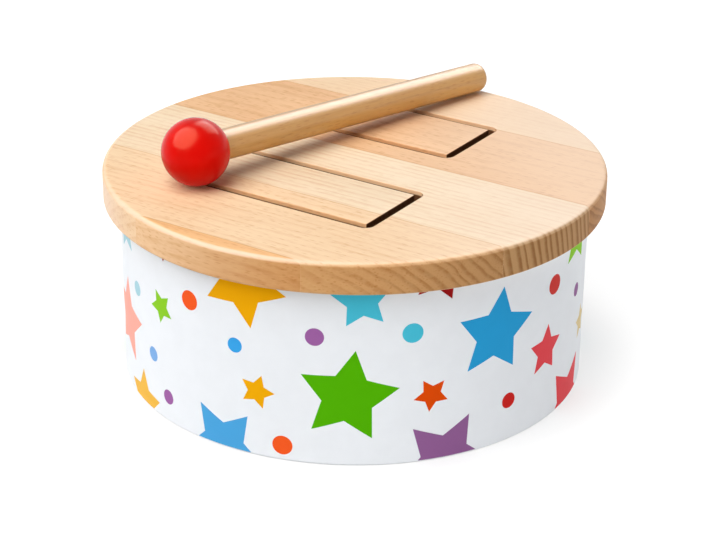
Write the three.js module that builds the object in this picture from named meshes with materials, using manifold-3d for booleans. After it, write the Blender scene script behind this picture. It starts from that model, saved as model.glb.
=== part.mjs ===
// Toy tongue drum with its mallet.
// A bent plywood shell carries an edge-glued beech soundboard, in which two U-shaped slots leave two
// tongues free to sound. Two plywood rings stiffen the shell: the soundboard is screwed down from
// inside through the upper one, and the base panel is screwed up into the lower one.
// The mallet lies across the soundboard, on its ball at one end and on its handle at the other.
//
// Millimetres, +Z up. The origin is the centre of the shell's foot. The grain, the staves and the
// tongues run along X, and the tongues are free at their +X ends.

import * as THREE from "three";
import { mergeVertices } from "three/addons/utils/BufferGeometryUtils.js";
import Module from "manifold-3d";

const wasm = await Module();
wasm.setup();

// Shell: a bent plywood hoop
const SHELL_DIAMETER = 183.4;
const SHELL_HEIGHT = 72;
const SHELL_WALL = 4.5;
const SHELL_EDGE_EASE = 0.6;

// Soundboard: beech staves glued edge to edge and turned round
const LID_OVERHANG = 6.3;
const LID_THICKNESS = 12.4;
const LID_TOP_ROUND = 1.2;
const LID_BOTTOM_ROUND = 0.8;
const BACK_STAVE_WIDTH = 38.4;
const FRONT_STAVE_WIDTH = 7;
const MIDDLE_STAVES = 3;
const GLUE_LINE = 0.2;

// Tongues: each is cut free on three sides by a routed slot. The rear one is set forward of the back
// glue line, and the front one is set back from the glue line that runs along it.
const TONGUE_WIDTH = 33.4;
const TONGUE_ROOT_X = -39.6;
const SIDE_SLOT = 3;
const TIP_SLOT = 3.6;
const SLOT_CORNER = 2.6;
const FRONT_TONGUE_SET = 6.2;
const FRONT_TONGUE_LENGTH = 77.7;
const REAR_TONGUE_SET = 18.8;
const REAR_TONGUE_LENGTH = 66.8;
const FLEX_GAP = 0.3;

// Rings and base inside the shell
const RING_WIDTH = 11;
const RING_HEIGHT = 10;
const BASE_THICKNESS = 5;
const BASE_RECESS = 2;
const FIT_GAP = 0.3;

// Countersunk wood screws, with the thread left to the gap round the shank
const SCREW_COUNT = 6;
const FIRST_SCREW_ANGLE = THREE.MathUtils.degToRad(20);
const SCREW_SHANK_DIAMETER = 3;
const SCREW_HEAD_DIAMETER = 6.4;
const SCREW_HEAD_HEIGHT = 2;
const SCREW_POINT = 3;
const HEAD_SCREW_BITE = 8;
const BASE_SCREW_BITE = 7.5;

// Mallet: a ball bored for a dowel with a rounded grip end
const BALL_DIAMETER = 26;
const HANDLE_DIAMETER = 12;
const HANDLE_REACH = 156.5;
const HANDLE_SOCKET = 13;
const HANDLE_END_ROUND = 2.6;
const MALLET_X = -34.9;
const MALLET_Y = -56.1;
const MALLET_TURN = THREE.MathUtils.degToRad(77);
const REST_GAP = 0.3;

// Facets
const HOOP_FACETS = 72;
const DOWEL_FACETS = 28;
const SCREW_FACETS = 12;
const ROUND_STEPS = 4;
const CUT_MARGIN = 2;
const MERGE_DISTANCE = 1e-4;

// Sizes that follow from those above
const SHELL_RADIUS = SHELL_DIAMETER / 2;
const SHELL_INSIDE = SHELL_RADIUS - SHELL_WALL;
const LID_RADIUS = SHELL_RADIUS + LID_OVERHANG;
const LID_TOP_Z = SHELL_HEIGHT + LID_THICKNESS;
const RING_OUTSIDE = SHELL_INSIDE - FIT_GAP;
const RING_INSIDE = RING_OUTSIDE - RING_WIDTH;
const SCREW_CIRCLE = (RING_OUTSIDE + RING_INSIDE) / 2;
const BASE_TOP_Z = BASE_RECESS + BASE_THICKNESS;
const HEAD_SCREW_LENGTH = RING_HEIGHT + HEAD_SCREW_BITE;
const BASE_SCREW_LENGTH = BASE_THICKNESS + BASE_SCREW_BITE;
const BALL_RADIUS = BALL_DIAMETER / 2;
const HANDLE_RADIUS = HANDLE_DIAMETER / 2;

// The full staves share what the narrower front and back ones leave of the board
const MIDDLE_STAVE_WIDTH = (2 * LID_RADIUS - BACK_STAVE_WIDTH - FRONT_STAVE_WIDTH) / MIDDLE_STAVES;
const BACK_GLUE_LINE_Y = LID_RADIUS - BACK_STAVE_WIDTH;
const FRONT_GLUE_LINE_Y = FRONT_STAVE_WIDTH - LID_RADIUS;
const TONGUE_GLUE_LINE_Y = FRONT_GLUE_LINE_Y + MIDDLE_STAVE_WIDTH;
const FRONT_TONGUE_Y = TONGUE_GLUE_LINE_Y + FRONT_TONGUE_SET;
const REAR_TONGUE_Y = BACK_GLUE_LINE_Y - REAR_TONGUE_SET;
const TONGUES = [
  { name: "front_tongue", centreY: FRONT_TONGUE_Y, length: FRONT_TONGUE_LENGTH },
  { name: "rear_tongue", centreY: REAR_TONGUE_Y, length: REAR_TONGUE_LENGTH },
];

// Finishes
const beech = [0xf0c894, 0xe7b982, 0xf3d0a2, 0xedc28c, 0xe2b075].map(
  (color) => new THREE.MeshStandardMaterial({ color, roughness: 0.5, metalness: 0 }),
);
const whiteLacquer = new THREE.MeshStandardMaterial({ color: 0xf4f4f2, roughness: 0.35, metalness: 0 });
const birchPly = new THREE.MeshStandardMaterial({ color: 0xdcc19a, roughness: 0.7, metalness: 0 });
const zincSteel = new THREE.MeshStandardMaterial({ color: 0xb9bcc0, roughness: 0.35, metalness: 1 });
const dowelBeech = new THREE.MeshStandardMaterial({ color: 0xd0a972, roughness: 0.45, metalness: 0 });
const redLacquer = new THREE.MeshStandardMaterial({ color: 0xd80d05, roughness: 0.15, metalness: 0 });

// A closed three.js geometry as a solid that can be cut and joined
function solid(geometry) {
  const bare = geometry.clone();
  bare.deleteAttribute("normal");
  bare.deleteAttribute("uv");
  const merged = mergeVertices(bare, MERGE_DISTANCE);
  const corners = merged.index.array;
  const triangles = [];
  for (let i = 0; i < corners.length; i += 3) {
    const [a, b, c] = corners.slice(i, i + 3);
    if (a !== b && b !== c && c !== a) triangles.push(a, b, c);
  }
  return new wasm.Manifold(
    new wasm.Mesh({
      numProp: 3,
      vertProperties: new Float32Array(merged.attributes.position.array),
      triVerts: new Uint32Array(triangles),
    }),
  );
}

// A solid as a mesh with its name and finish
function piece(name, shape, material) {
  const { vertProperties, triVerts } = shape.getMesh();
  const geometry = new THREE.BufferGeometry();
  geometry.setAttribute("position", new THREE.BufferAttribute(vertProperties, 3));
  geometry.setIndex(new THREE.BufferAttribute(triVerts, 1));
  geometry.computeVertexNormals();
  const mesh = new THREE.Mesh(geometry, material);
  mesh.name = name;
  return mesh;
}

// A profile of [radius, height] points turned about the Z axis
function turned(profile, facets) {
  const points = profile.map(([radius, height]) => new THREE.Vector2(radius, height));
  return new THREE.LatheGeometry(points, facets).rotateX(Math.PI / 2);
}

// A quarter round in a profile, from one heading to another, in degrees
function quarterRound(centreRadius, centreHeight, radius, from, to) {
  return Array.from({ length: ROUND_STEPS + 1 }, (_, step) => {
    const angle = THREE.MathUtils.degToRad(from + ((to - from) * step) / ROUND_STEPS);
    return [centreRadius + radius * Math.cos(angle), centreHeight + radius * Math.sin(angle)];
  });
}

// A ring of square section between two radii and two heights
function ring(inside, outside, low, high) {
  return turned([[inside, low], [outside, low], [outside, high], [inside, high], [inside, low]], HOOP_FACETS);
}

// The places of the screws, evenly round the rings
const screwPlaces = Array.from({ length: SCREW_COUNT }, (_, index) => {
  const angle = FIRST_SCREW_ANGLE + (index * 2 * Math.PI) / SCREW_COUNT;
  return new THREE.Vector2(SCREW_CIRCLE * Math.cos(angle), SCREW_CIRCLE * Math.sin(angle));
});

// A countersunk screw that points up, with the flat of its head at the given height.
// Grown by a clearance it is the hole that the screw sits in.
function screwForm(headZ, length, clearance = 0) {
  const shank = SCREW_SHANK_DIAMETER / 2 + clearance;
  const head = SCREW_HEAD_DIAMETER / 2 + clearance;
  const tipZ = headZ + length + clearance;
  const footZ = clearance > 0 ? headZ - CUT_MARGIN : headZ;
  const mouth = clearance > 0 ? [[head, footZ]] : [];
  return turned(
    [
      [0, footZ],
      ...mouth,
      [head, headZ],
      [shank, headZ + SCREW_HEAD_HEIGHT],
      [shank, tipZ - SCREW_POINT],
      [0, tipZ],
    ],
    SCREW_FACETS,
  );
}

// Cuts the screws' holes into a solid
function drilled(body, headZ, length) {
  return screwPlaces.reduce(
    (left, place) => left.subtract(solid(screwForm(headZ, length, FIT_GAP).translate(place.x, place.y, 0))),
    body,
  );
}

// One screw at each place
function screws(name, headZ, length) {
  return screwPlaces.map((place, index) => {
    const screw = piece(`${name}_${index + 1}`, solid(screwForm(headZ, length)), zincSteel);
    screw.position.set(place.x, place.y, 0);
    return screw;
  });
}

// The shell is one hoop, with its edges eased at the foot and at the top
function shellHoop() {
  const ease = SHELL_EDGE_EASE;
  const profile = [
    [SHELL_INSIDE + ease, 0],
    [SHELL_RADIUS - ease, 0],
    [SHELL_RADIUS, ease],
    [SHELL_RADIUS, SHELL_HEIGHT],
    [SHELL_INSIDE, SHELL_HEIGHT],
    [SHELL_INSIDE, ease],
    [SHELL_INSIDE + ease, 0],
  ];
  return piece("shell_hoop", solid(turned(profile, HOOP_FACETS)), whiteLacquer);
}

// The upper ring is glued inside the shell, and the soundboard is screwed down through it
const headRingBottomZ = SHELL_HEIGHT - RING_HEIGHT;
function headRing() {
  const body = solid(ring(RING_INSIDE, RING_OUTSIDE, headRingBottomZ, SHELL_HEIGHT));
  return piece("head_ring", drilled(body, headRingBottomZ, HEAD_SCREW_LENGTH), birchPly);
}

// The lower ring takes the screws of the base panel
function baseRing() {
  const body = solid(ring(RING_INSIDE, RING_OUTSIDE, BASE_TOP_Z, BASE_TOP_Z + RING_HEIGHT));
  return piece("base_ring", drilled(body, BASE_RECESS, BASE_SCREW_LENGTH), birchPly);
}

// The base panel closes the shell, set up a little from the foot
function basePanel() {
  const profile = [
    [0, BASE_RECESS],
    [RING_OUTSIDE, BASE_RECESS],
    [RING_OUTSIDE, BASE_TOP_Z],
    [0, BASE_TOP_Z],
  ];
  const body = solid(turned(profile, HOOP_FACETS));
  return piece("base_panel", drilled(body, BASE_RECESS, BASE_SCREW_LENGTH), birchPly);
}

// The soundboard before it is cut: a round board with both rims rounded over
function roundBoard() {
  const profile = [
    [0, SHELL_HEIGHT],
    ...quarterRound(LID_RADIUS - LID_BOTTOM_ROUND, SHELL_HEIGHT + LID_BOTTOM_ROUND, LID_BOTTOM_ROUND, -90, 0),
    ...quarterRound(LID_RADIUS - LID_TOP_ROUND, LID_TOP_Z - LID_TOP_ROUND, LID_TOP_ROUND, 0, 90),
    [0, LID_TOP_Z],
  ];
  return drilled(solid(turned(profile, HOOP_FACETS)), headRingBottomZ, HEAD_SCREW_LENGTH);
}

// An outline in the XY plane as an upright cutter that passes right through the soundboard
function cutter(shape) {
  const prism = new THREE.ExtrudeGeometry(shape, {
    depth: LID_THICKNESS + 2 * CUT_MARGIN,
    bevelEnabled: false,
    curveSegments: ROUND_STEPS,
  });
  return solid(prism.translate(0, 0, SHELL_HEIGHT - CUT_MARGIN));
}

// A rectangle in the XY plane
function rectangle(lowX, highX, lowY, highY) {
  return new THREE.Shape([
    new THREE.Vector2(lowX, lowY),
    new THREE.Vector2(highX, lowY),
    new THREE.Vector2(highX, highY),
    new THREE.Vector2(lowX, highY),
  ]);
}

// The U-shaped slot round a tongue, as a round cutter leaves it: the outer corners and the two ends
// are round, and the tongue's own corners are sharp
function slotShape({ centreY, length }) {
  const tipX = TONGUE_ROOT_X + length;
  const farX = tipX + TIP_SLOT;
  const half = TONGUE_WIDTH / 2;
  const outer = half + SIDE_SLOT;
  const cutterRadius = SIDE_SLOT / 2;
  const shape = new THREE.Shape();
  shape.moveTo(TONGUE_ROOT_X, centreY - outer);
  shape.lineTo(farX - SLOT_CORNER, centreY - outer);
  shape.absarc(farX - SLOT_CORNER, centreY - outer + SLOT_CORNER, SLOT_CORNER, -Math.PI / 2, 0);
  shape.absarc(farX - SLOT_CORNER, centreY + outer - SLOT_CORNER, SLOT_CORNER, 0, Math.PI / 2);
  shape.absarc(TONGUE_ROOT_X, centreY + half + cutterRadius, cutterRadius, Math.PI / 2, (3 * Math.PI) / 2);
  shape.lineTo(tipX, centreY + half);
  shape.lineTo(tipX, centreY - half);
  shape.absarc(TONGUE_ROOT_X, centreY - half - cutterRadius, cutterRadius, Math.PI / 2, (3 * Math.PI) / 2);
  return shape;
}

// The rectangle that holds a tongue, out to the middle of its slots
function tongueField({ centreY, length }, rootX) {
  const reach = TONGUE_WIDTH / 2 + SIDE_SLOT / 2;
  return rectangle(rootX, TONGUE_ROOT_X + length + TIP_SLOT / 2, centreY - reach, centreY + reach);
}

// The staves' edges from behind the board to in front of it, with a glue line at each one between
const boardReach = LID_RADIUS + CUT_MARGIN;
const glueLines = Array.from(
  { length: MIDDLE_STAVES + 1 },
  (_, line) => BACK_GLUE_LINE_Y - line * MIDDLE_STAVE_WIDTH,
);
const staveEdges = [boardReach, ...glueLines, -boardReach];

// Splits a board at the glue lines and names what each stave holds of it
function splitIntoStaves(name, board) {
  return staveEdges.slice(1).flatMap((frontY, index) => {
    const backY = staveEdges[index];
    const strip = cutter(rectangle(-boardReach, boardReach, frontY + GLUE_LINE / 2, backY - GLUE_LINE / 2));
    const bodies = board.intersect(strip).decompose();
    return bodies.map((body, part) => {
      const suffix = bodies.length > 1 ? `_${part + 1}` : "";
      return piece(`${name}_stave_${index + 1}${suffix}`, body, beech[index % beech.length]);
    });
  });
}

// The soundboard and its tongues. A tongue is one with its staves on the real board, and bends near
// its root. Here it is parted from the board there by a narrow gap, so that it can swing.
function soundboard() {
  const slotted = TONGUES.reduce((board, tongue) => board.subtract(cutter(slotShape(tongue))), roundBoard());
  const rest = TONGUES.reduce(
    (board, tongue) => board.subtract(cutter(tongueField(tongue, TONGUE_ROOT_X - FLEX_GAP / 2))),
    slotted,
  );
  const tongues = TONGUES.map((tongue) => {
    const body = slotted.intersect(cutter(tongueField(tongue, TONGUE_ROOT_X + FLEX_GAP / 2)));
    return new THREE.Group().add(...splitIntoStaves(tongue.name, body));
  });
  return new THREE.Group().add(...splitIntoStaves("soundboard", rest), ...tongues);
}

// The mallet's own frame has the ball's centre at the origin and the handle along +X
const handleStartX = Math.sqrt(BALL_RADIUS ** 2 - HANDLE_RADIUS ** 2) - HANDLE_SOCKET;

function malletHead() {
  const ball = new THREE.SphereGeometry(BALL_RADIUS, DOWEL_FACETS, DOWEL_FACETS / 2).rotateZ(-Math.PI / 2);
  const boreLength = BALL_DIAMETER;
  const bore = new THREE.CylinderGeometry(
    HANDLE_RADIUS + FIT_GAP,
    HANDLE_RADIUS + FIT_GAP,
    boreLength,
    DOWEL_FACETS,
  );
  bore.rotateZ(-Math.PI / 2).translate(handleStartX - FIT_GAP + boreLength / 2, 0, 0);
  return piece("mallet_head", solid(ball).subtract(solid(bore)), redLacquer);
}

function malletHandle() {
  const round = HANDLE_END_ROUND;
  const profile = [
    [0, handleStartX],
    [HANDLE_RADIUS, handleStartX],
    ...quarterRound(HANDLE_RADIUS - round, HANDLE_REACH - round, round, 0, 90),
    [0, HANDLE_REACH],
  ];
  return piece("mallet_handle", solid(turned(profile, DOWEL_FACETS).rotateY(Math.PI / 2)), dowelBeech);
}

// The mallet lies on the soundboard, so the handle slopes down from the larger ball to its grip end
function mallet() {
  const slope = Math.asin((BALL_RADIUS - HANDLE_RADIUS) / HANDLE_REACH);
  const group = new THREE.Group();
  group.rotation.order = "ZYX";
  group.rotation.set(0, slope, MALLET_TURN);
  group.position.set(MALLET_X, MALLET_Y, LID_TOP_Z + REST_GAP + BALL_RADIUS);
  return group.add(malletHead(), malletHandle());
}

const drum = new THREE.Group();
drum.add(shellHoop(), headRing(), baseRing(), basePanel(), soundboard(), mallet());
drum.add(...screws("head_screw", headRingBottomZ, HEAD_SCREW_LENGTH));
drum.add(...screws("base_screw", BASE_RECESS, BASE_SCREW_LENGTH));

export default drum;
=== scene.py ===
# %% [markdown]
# # A toy tongue drum, dressed for its portrait
#
# The drum is a glued-up beech board on a white printed hoop. Two U-shaped slots leave two tongues free to
# sound, and a mallet with a red ball lies across them. The construction model gives every size and place.
# Here each piece is made again with the edges, finish and print that the eye sees.

# %% Load the construction model
import math

import bmesh
import bpy
from mathutils import Matrix, Vector
from mathutils.geometry import delaunay_2d_cdt


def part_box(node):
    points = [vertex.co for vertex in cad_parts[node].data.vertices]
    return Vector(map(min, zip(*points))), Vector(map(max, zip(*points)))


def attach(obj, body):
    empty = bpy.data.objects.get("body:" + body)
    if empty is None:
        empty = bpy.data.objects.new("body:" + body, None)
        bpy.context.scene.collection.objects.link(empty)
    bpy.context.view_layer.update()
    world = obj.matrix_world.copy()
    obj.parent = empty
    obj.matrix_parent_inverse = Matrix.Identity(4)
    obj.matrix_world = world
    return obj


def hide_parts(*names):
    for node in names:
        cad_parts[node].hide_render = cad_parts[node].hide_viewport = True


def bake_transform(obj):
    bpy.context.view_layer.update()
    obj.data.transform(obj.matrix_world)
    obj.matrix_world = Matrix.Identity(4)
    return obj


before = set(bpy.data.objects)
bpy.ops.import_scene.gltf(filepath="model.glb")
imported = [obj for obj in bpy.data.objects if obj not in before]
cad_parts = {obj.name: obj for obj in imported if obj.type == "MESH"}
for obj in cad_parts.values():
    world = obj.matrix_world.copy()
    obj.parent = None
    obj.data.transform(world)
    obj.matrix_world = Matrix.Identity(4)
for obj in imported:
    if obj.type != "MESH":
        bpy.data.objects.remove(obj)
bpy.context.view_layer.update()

MM = 0.001


def in_mm(lengths, digits=2):
    """Lengths in metres as rounded millimetres, for printing."""
    return [round(length / MM, digits) for length in lengths]


def placed(name, data):
    piece = bpy.data.objects.new(name, data)
    bpy.context.scene.collection.objects.link(piece)
    return piece


# %% [markdown]
# ## The camera
#
# The photographer stood to the right of the drum's front and looked down on it from about 80 cm, with a
# long lens, so the near and far rims are almost the same size. A camera can be nudged by eye until the
# picture fits. This one was fitted to the drum's outlines, which also shows that it leans a little.

# %% Camera
PHOTO_WIDTH_PX = 716
FOCAL_LENGTH_PX = 2002.4
SENSOR_WIDTH_MM = 36
AZIMUTH = math.radians(32.6)
ELEVATION = math.radians(24.8)
LEAN = math.radians(0.7)
DISTANCE = 801 * MM
TARGET = Vector((1.4, 0.9, 36.7)) * MM
CLIP_START = 10 * MM
camera = placed("camera", bpy.data.cameras.new("camera"))
camera.data.sensor_width = SENSOR_WIDTH_MM
camera.data.lens = FOCAL_LENGTH_PX / PHOTO_WIDTH_PX * SENSOR_WIDTH_MM
camera.data.clip_start = CLIP_START
level = math.cos(ELEVATION)
back = Vector((math.sin(AZIMUTH) * level, -math.cos(AZIMUTH) * level, math.sin(ELEVATION)))
turn = (-back).to_track_quat("-Z", "Y").to_matrix().to_4x4() @ Matrix.Rotation(LEAN, 4, "Z")
camera.matrix_world = Matrix.Translation(TARGET + back * DISTANCE) @ turn
bpy.context.scene.camera = camera
print("lens, mm:", round(camera.data.lens, 1))

# %% [markdown]
# ## Tools for finishes
#
# A finish in Blender is a tree of nodes: patterns, sums and mixes that end in a surface shader. Such a tree
# can be drawn by hand in the editor. Here it is written down, with one short helper for each kind of node,
# so that a finish reads like a recipe and can be run again with other numbers.

# %% Nodes
def node(kind, inputs, **settings):
    """Adds a node to the tree of its inputs. Sockets are linked, and other values are set."""
    linked = [value for value in inputs.values() if isinstance(value, bpy.types.NodeSocket)]
    tree = linked[0].id_data
    made = tree.nodes.new(kind)
    for name, value in settings.items():
        setattr(made, name, value)
    for name, value in inputs.items():
        if value in linked:
            tree.links.new(value, made.inputs[name])
        else:
            made.inputs[name].default_value = value
    return made


def calc(operation, first, second=0.0, clamp=False):
    inputs = {0: first, 1: second}
    return node("ShaderNodeMath", inputs, operation=operation, use_clamp=clamp).outputs[0]


def times(first, second, clamp=False):
    return calc("MULTIPLY", first, second, clamp)


def swing(value, middle, share):
    """How far a value lies off its middle, made stronger or weaker."""
    return times(calc("SUBTRACT", value, middle), share)


def between(value, low, high, to_low=0.0, to_high=1.0):
    """A value carried smoothly from one range to another."""
    inputs = {"Value": value, "From Min": low, "From Max": high, "To Min": to_low, "To Max": to_high}
    return node("ShaderNodeMapRange", inputs, interpolation_type="SMOOTHSTEP").outputs[0]


def scaled(vector, factors):
    return node("ShaderNodeVectorMath", {0: vector, 1: factors}, operation="MULTIPLY").outputs[0]


def dot(vector, direction):
    inputs = {0: vector, 1: direction}
    return node("ShaderNodeVectorMath", inputs, operation="DOT_PRODUCT").outputs["Value"]


def axis(vector, letter):
    return node("ShaderNodeSeparateXYZ", {0: vector}).outputs[letter]


def facing(place, letter):
    """How far the surface looks along one of the piece's own axes, from -1 to 1."""
    return axis(place.id_data.nodes.new("ShaderNodeTexCoord").outputs["Normal"], letter)


def noise(place, scale, detail=2.0, roughness=0.5, stretch=None):
    """A cloudy pattern from 0 to 1, drawn out along axes with a stretch below 1."""
    if stretch:
        place = scaled(place, stretch)
    inputs = {"Vector": place, "Scale": scale, "Detail": detail, "Roughness": roughness}
    return node("ShaderNodeTexNoise", inputs).outputs["Fac"]


print("helpers for nodes ready")

# %% Colours and surfaces
PATTERN_RANGE = (0.2, 0.8)
PATCH_RANGE = (0.3, 0.7)


def linear(red, green, blue):
    """A picture's colour, 0 to 255, as the light that a shader works with."""
    def channel(value):
        value /= 255
        return value / 12.92 if value <= 0.04045 else ((value + 0.055) / 1.055) ** 2.4
    return (channel(red), channel(green), channel(blue), 1.0)


def mixed(factor, first, second, blend="MIX"):
    """Two colours mixed; the sockets of a colour mix are numbers 0, 6 and 7."""
    made = node("ShaderNodeMix", {0: factor, 6: first, 7: second}, data_type="RGBA", blend_type=blend)
    return made.outputs[2]


def tinted(factor, colour, tint):
    """A colour multiplied by a tint, as far as the factor says."""
    return mixed(factor, colour, tint, "MULTIPLY")


def new_finish(name, sockets):
    """A material with constant sockets set, and the place on its piece, in millimetres."""
    material = bpy.data.materials.new(name)
    material.use_nodes = True
    for socket, value in sockets.items():
        material.node_tree.nodes["Principled BSDF"].inputs[socket].default_value = value
    place = material.node_tree.nodes.new("ShaderNodeTexCoord").outputs["Object"]
    return material, node("ShaderNodeVectorMath", {0: place, "Scale": 1 / MM}, operation="SCALE").outputs[0]


def coat(material, colour, pattern, smooth, dull, depth_mm, strength, relief=None):
    """Lays a colour on, with a roughness and a relief that follow a pattern."""
    roughness = between(pattern, *PATTERN_RANGE, smooth, dull)
    height = pattern if relief is None else relief
    bump = node("ShaderNodeBump", {"Height": height, "Distance": depth_mm * MM, "Strength": strength})
    surface = material.node_tree.nodes["Principled BSDF"]
    for socket, value in (("Base Color", colour), ("Roughness", roughness), ("Normal", bump.outputs[0])):
        material.node_tree.links.new(value, surface.inputs[socket])
    return material


print("a middle grey, as light:", round(linear(128, 128, 128)[0], 3))

# %% [markdown]
# ## Light and floor
#
# The photo has a white ground and soft shadows. One large soft light hangs above the front, in the plane of
# the mallet's handle, so that the handle's shadow stays narrow and the ball's short. Four low cards light the
# upright shell. Two more show only as reflections: the pale patch on the ball and the sheen on the handle. A
# picture of a studio could do the same, but cards can be changed one at a time. The floor glows where the
# camera sees it, white far away, and a painted shadow dims its glow a little round the drum's foot.

# %% World
WHITE = (1, 1, 1, 1)
WORLD_FILL = 0.02


def seen_ray(tree):
    """One for rays that show the background, straight or mirrored."""
    path = tree.nodes.new("ShaderNodeLightPath").outputs
    glossy = calc("MAXIMUM", path["Is Glossy Ray"], path["Is Transmission Ray"])
    return calc("MAXIMUM", path["Is Camera Ray"], glossy)


bpy.context.scene.view_settings.view_transform = "Standard"
world = bpy.data.worlds.new("white studio")
world.use_nodes = True
background = world.node_tree.nodes["Background"]
background.inputs["Color"].default_value = WHITE
strength = between(seen_ray(world.node_tree), 0, 1, WORLD_FILL, 1.0)
world.node_tree.links.new(strength, background.inputs["Strength"])
bpy.context.scene.world = world
print("world:", world.name)

# %% Floor
PAPER = (0.3, 0.3, 0.3, 1)
FLOOR_HALF = 4.0
FLOOR_DROP = 0.05 * MM
# Both: distance from the drum's axis where it begins and ends, in metres, and its strength there.
FLOOR_GLOW = (0.6, 1.6, 0.86, 1.0)
# A painted shadow: the floor's glow is dimmed round the drum's foot.
FOOT_PAINTED_SHADOW = (0.090, 0.125, 0.17, 0.0)
corners = [(-1, -1), (1, -1), (1, 1), (-1, 1)]
mesh = bpy.data.meshes.new("floor")
mesh.from_pydata([(x * FLOOR_HALF, y * FLOOR_HALF, -FLOOR_DROP) for x, y in corners], [], [(0, 1, 2, 3)])
floor = placed("floor", mesh)
material = bpy.data.materials.new("pale floor")
material.use_nodes = True
tree = material.node_tree
tree.nodes.remove(tree.nodes["Principled BSDF"])
paper = tree.nodes.new("ShaderNodeBsdfDiffuse")
paper.inputs["Color"].default_value = PAPER
place = tree.nodes.new("ShaderNodeTexCoord").outputs["Object"]
away = node("ShaderNodeVectorMath", {0: place}, operation="LENGTH").outputs["Value"]
# The glow, less the painted shadow at the foot.
strength = calc("SUBTRACT", between(away, *FLOOR_GLOW), between(away, *FOOT_PAINTED_SHADOW))
glow = node("ShaderNodeEmission", {"Color": WHITE, "Strength": strength})
both = node("ShaderNodeAddShader", {0: paper.outputs[0], 1: glow.outputs[0]})
shown = node("ShaderNodeMixShader", {0: seen_ray(tree), 1: paper.outputs[0], 2: both.outputs[0]})
tree.links.new(shown.outputs[0], tree.nodes["Material Output"].inputs["Surface"])
mesh.materials.append(material)
print("floor, m across:", 2 * FLOOR_HALF)

# %% Lamps
LAMP_AIM = Vector((0, 0, 0.06))
# Each lamp: direction from the drum, then distance, width and height in metres, and power in watts.
LAMPS = {
    "key softbox": ((-0.13, -0.56, 0.82), 1.6, 1.3, 2.2, 37.0),
    "right card": ((0.98, 0.0, 0.06), 1.2, 0.9, 0.24, 6.6),
    "left card": ((-0.97, -0.2, 0.06), 1.3, 1.0, 0.25, 4.1),
    "front card": ((-0.08, -0.99, 0.03), 1.3, 1.4, 0.16, 3.0),
    "back card": ((0.10, 0.99, 0.06), 1.3, 1.4, 0.24, 5.6),
    "sheen card": ((-0.31, -0.45, 0.83), 1.3, 1.9, 1.8, 88.0),
    "rear card": ((-0.08, 0.71, 0.70), 1.3, 1.0, 0.9, 18.0),
}
REFLECTED = ("sheen card", "rear card")
for name, (direction, distance, width, height, watts) in LAMPS.items():
    towards = Vector(direction).normalized()
    lamp = placed(name, bpy.data.lights.new(name, "AREA"))
    lamp.data.shape = "ELLIPSE" if name == "sheen card" else "RECTANGLE"
    lamp.data.size = width
    lamp.data.size_y = height
    lamp.data.energy = watts
    lamp.visible_glossy = name in REFLECTED
    lamp.visible_diffuse = name not in REFLECTED
    turn = (-towards).to_track_quat("-Z", "Y").to_matrix().to_4x4()
    lamp.matrix_world = Matrix.Translation(LAMP_AIM + towards * distance) @ turn
print("lamps:", list(LAMPS))

# %% [markdown]
# ## Beech
#
# Beech is pale and close-grained. A stave's face shows growth rings that the saw crossed, so they run as fine
# lines; short brown flecks where the rays of the tree come to the surface; and a slow drift of tone. Each
# stave has its own tone, ring angle and flecks, and the narrow front one is more orange. A painted sheen
# pales the back right, and the glue left thin brown lines. The rim's side grain is browner; painted light
# pales it at the left, and painted shade darkens it at the right, where its end-grain rings stand out. A
# painted highlight runs along the rounded upper edge, browner at the far left, and painted shade darkens the
# slots below their lip and on their end walls. Pictures of wood would need one for each stave. Patterns
# worked out from the place in the wood run on over the edges by themselves, as in a real board.

# %% Rings, flecks and glue lines
staves = {number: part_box(f"soundboard_stave_{number}") for number in range(1, 6)}
LID_TOP = staves[3][1].z
GLUE_LINES = [(staves[number][0].y + staves[number + 1][1].y) / 2 for number in range(1, 5)]
GLUE_FADE = (0.15, 0.55, 1.0, 0.0)
RING_WANDER = {"scale": 0.05, "stretch": (0.10, 1, 1)}
UNEVEN_YEARS = {"Scale": 0.6, "Detail": 1.0}
UNEVEN_SHARE = 0.9
LATE_WOOD_RISE = (0.30, 0.80)
LATE_WOOD_FALL = (0.82, 1.0, 1.0, 0.0)
DASH_SIZE = (4.2, 0.8, 0.8)
DASH_FADE = (0.10, 0.50, 1.0, 0.0)
DASH_CHOICE = (0.25, 0.85)


def growth_rings(place, ring_angle, ring_pitch, drift):
    """One on a dark late-wood line, zero in the pale early wood of the next year."""
    angle = math.radians(ring_angle)
    depth = dot(place, (0.0, math.cos(angle), math.sin(angle)))
    wander = swing(noise(place, **RING_WANDER), 0.5, drift)
    year = calc("DIVIDE", calc("ADD", depth, wander), ring_pitch)
    uneven = node("ShaderNodeTexNoise", {"W": year, **UNEVEN_YEARS}, noise_dimensions="1D")
    year = calc("ADD", year, times(uneven.outputs["Fac"], UNEVEN_SHARE))
    season = calc("FRACT", year)
    return times(between(season, *LATE_WOOD_RISE), between(season, *LATE_WOOD_FALL))


def ray_dashes(place):
    stretched = scaled(place, tuple(1 / size for size in DASH_SIZE))
    cells = node("ShaderNodeTexVoronoi", {"Vector": stretched, "Scale": 1.0})
    chosen = node("ShaderNodeSeparateColor", {0: cells.outputs["Color"]}).outputs[0]
    dash = between(cells.outputs["Distance"], *DASH_FADE)
    return times(dash, between(chosen, *DASH_CHOICE))


def glue_mark(on_piece):
    """One on the thin brown line that a glue joint leaves on the board's face."""
    across = axis(on_piece, "Y")
    mark = 0.0
    for line in GLUE_LINES:
        off = calc("ABSOLUTE", calc("SUBTRACT", across, line / MM))
        mark = calc("MAXIMUM", between(off, *GLUE_FADE), mark)
    return mark


print("glue lines, mm:", in_mm(GLUE_LINES))

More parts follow.
